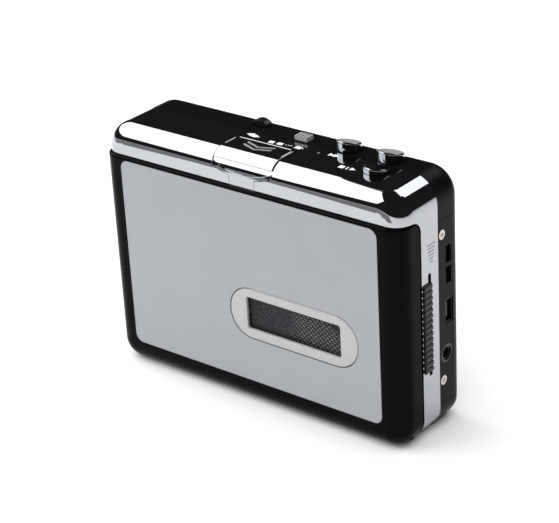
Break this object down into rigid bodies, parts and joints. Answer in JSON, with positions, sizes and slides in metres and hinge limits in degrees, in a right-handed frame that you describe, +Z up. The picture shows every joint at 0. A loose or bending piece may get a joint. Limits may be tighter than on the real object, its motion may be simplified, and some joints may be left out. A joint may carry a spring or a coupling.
{
  "type": "portable cassette player",
  "caption": "Pocket cassette player with a hinged front door and oval window, chrome mid frame, push keys and slide switches on top, side sockets, ribbed volume slider and battery bay.",
  "frame": {"origin": "middle of the footprint on the flat bottom edge that it stands on", "axes": "+X along the length towards the sockets, +Y from the door to the battery side, +Z up towards the keys"},
  "size_m": [0.1136, 0.031, 0.0855],
  "materials": {
    "shell_black": "satin moulded",
    "door_black": "gloss",
    "chrome": "mirror plated plastic",
    "silver_plate": "satin silver paint",
    "bezel_clear": "gloss",
    "window_clear": "clear polished",
    "screen_dark": "woven film",
    "inner_plastic": "moulded",
    "cell_wrap": "shrink sleeve",
    "spring_steel": "drawn wire",
    "screw_steel": "nickel plated",
    "plated_steel": "zinc plated sheet",
    "brass": "turned",
    "reel_white": "moulded",
    "rubber": "ground",
    "motor_can": "drawn",
    "head_metal": "lapped",
    "board_green": "solder mask",
    "socket_metal": "stamped",
    "jack_black": "moulded",
    "chip_black": "epoxy",
    "knob_black": "moulded",
    "knob_silver": "painted"
  },
  "bodies": {
    "case": {"rear_shell": "shell_black", "chrome_frame": "chrome", "case_screws": "screw_steel", "battery_tray": "inner_plastic", "battery_cell_left": "cell_wrap", "battery_cell_right": "cell_wrap", "battery_contact_spring": "spring_steel", "battery_contact_plate": "spring_steel", "hinge_pins": "spring_steel", "chassis_plate": "plated_steel", "chassis_screws": "screw_steel", "head_guide_pins": "plated_steel", "bridge_plate": "plated_steel", "bridge_posts": "brass", "reel_posts": "spring_steel", "idler_pin": "spring_steel", "capstan_bushes": "brass", "motor_body": "motor_can", "drive_belt": "rubber", "circuit_board": "board_green", "usb_socket": "socket_metal", "headphone_jack": "jack_black", "control_chip": "chip_black", "capacitors": "motor_can", "switch_board": "board_green", "slide_switches": "socket_metal", "key_contacts": "spring_steel", "volume_track": "jack_black", "stop_button_spring": "spring_steel", "forward_button_spring": "spring_steel", "head_return_spring": "spring_steel"},
    "door": {"cassette_door": "door_black", "front_plate": "silver_plate", "window_bezel": "bezel_clear", "window_pane": "window_clear", "window_screen": "screen_dark", "pull_tab": "chrome", "cassette_guide_left": "inner_plastic", "cassette_guide_right": "inner_plastic", "cassette_springs": "spring_steel"},
    "battery_lid": {"battery_cover": "shell_black"},
    "stop_key": {"stop_button": "chrome"},
    "forward_key": {"forward_button": "chrome"},
    "play_slide": {"play_button": "chrome", "head_plate": "plated_steel", "tape_head": "head_metal", "pinch_axles": "spring_steel"},
    "pinch_left": {"pinch_roller_left": "rubber"},
    "pinch_right": {"pinch_roller_right": "rubber"},
    "drive_right": {"flywheel_right": "brass", "capstan_right": "spring_steel"},
    "drive_left": {"flywheel_left": "brass", "capstan_left": "spring_steel"},
    "motor_rotor": {"motor_pulley": "brass"},
    "idler": {"idler_wheel": "rubber"},
    "reel_right": {"reel_table_right": "reel_white"},
    "reel_left": {"reel_table_left": "reel_white"},
    "mode_switch": {"mode_slider": "knob_black"},
    "track_switch": {"track_knob": "knob_silver"},
    "volume_control": {"volume_slider": "knob_black"}
  },
  "joints": [
    {"name": "door_hinge", "type": "hinge", "parent": "case", "child": "door", "pos_m": [0, -0.0097, 0.0045], "axis": [1, 0, 0], "range_deg": [0, 65]},
    {"name": "battery_lid_hinge", "type": "hinge", "parent": "case", "child": "battery_lid", "pos_m": [0, 0.0147, 0.0056], "axis": [-1, 0, 0], "range_deg": [0, 80]},
    {"name": "stop_press", "type": "slide", "parent": "case", "child": "stop_key", "axis": [0, 0, -1], "range_m": [0, 0.0025], "stiffness_N_per_m": 350, "springref_m": -0.0015, "deforming": ["stop_button_spring"]},
    {"name": "forward_press", "type": "slide", "parent": "case", "child": "forward_key", "axis": [0, 0, -1], "range_m": [0, 0.0025], "stiffness_N_per_m": 350, "springref_m": -0.0015, "deforming": ["forward_button_spring"]},
    {"name": "play_press", "type": "slide", "parent": "case", "child": "play_slide", "axis": [0, 0, -1], "range_m": [0, 0.004], "stiffness_N_per_m": 300, "springref_m": -0.0015, "deforming": ["head_return_spring"]},
    {"name": "pinch_left_spin", "type": "hinge", "parent": "play_slide", "child": "pinch_left", "pos_m": [-0.0315, 0, 0.06945], "axis": [0, 1, 0], "continuous": true},
    {"name": "pinch_right_spin", "type": "hinge", "parent": "play_slide", "child": "pinch_right", "pos_m": [0.0315, 0, 0.06945], "axis": [0, 1, 0], "continuous": true},
    {"name": "drive_right_spin", "type": "hinge", "parent": "case", "child": "drive_right", "pos_m": [0.0315, 0, 0.0618], "axis": [0, 1, 0], "continuous": true},
    {"name": "drive_left_spin", "type": "hinge", "parent": "case", "child": "drive_left", "pos_m": [-0.0315, 0, 0.0618], "axis": [0, 1, 0], "continuous": true},
    {"name": "motor_spin", "type": "hinge", "parent": "case", "child": "motor_rotor", "pos_m": [0, 0, 0.034], "axis": [0, 1, 0], "continuous": true},
    {"name": "idler_spin", "type": "hinge", "parent": "case", "child": "idler", "pos_m": [0.02703, 0, 0.04894], "axis": [0, 1, 0], "continuous": true},
    {"name": "reel_right_spin", "type": "hinge", "parent": "case", "child": "reel_right", "pos_m": [0.02125, 0, 0.0323], "axis": [0, 1, 0], "continuous": true},
    {"name": "reel_left_spin", "type": "hinge", "parent": "case", "child": "reel_left", "pos_m": [-0.02125, 0, 0.0323], "axis": [0, 1, 0], "continuous": true},
    {"name": "mode_slide", "type": "slide", "parent": "case", "child": "mode_switch", "axis": [1, 0, 0], "range_m": [0, 0.0022]},
    {"name": "track_slide", "type": "slide", "parent": "case", "child": "track_switch", "axis": [1, 0, 0], "range_m": [-0.0022, 0]},
    {"name": "volume_slide", "type": "slide", "parent": "case", "child": "volume_control", "axis": [0, 0, 1], "range_m": [-0.0012, 0.0027]}
  ],
  "couplings": [
    {"joint": "drive_left_spin", "follows": "drive_right_spin", "ratio": 1},
    {"joint": "motor_spin", "follows": "drive_right_spin", "ratio": 3.2745},
    {"joint": "idler_spin", "follows": "drive_right_spin", "ratio": -0.4294},
    {"joint": "reel_right_spin", "follows": "drive_right_spin", "ratio": 0.5}
  ]
}
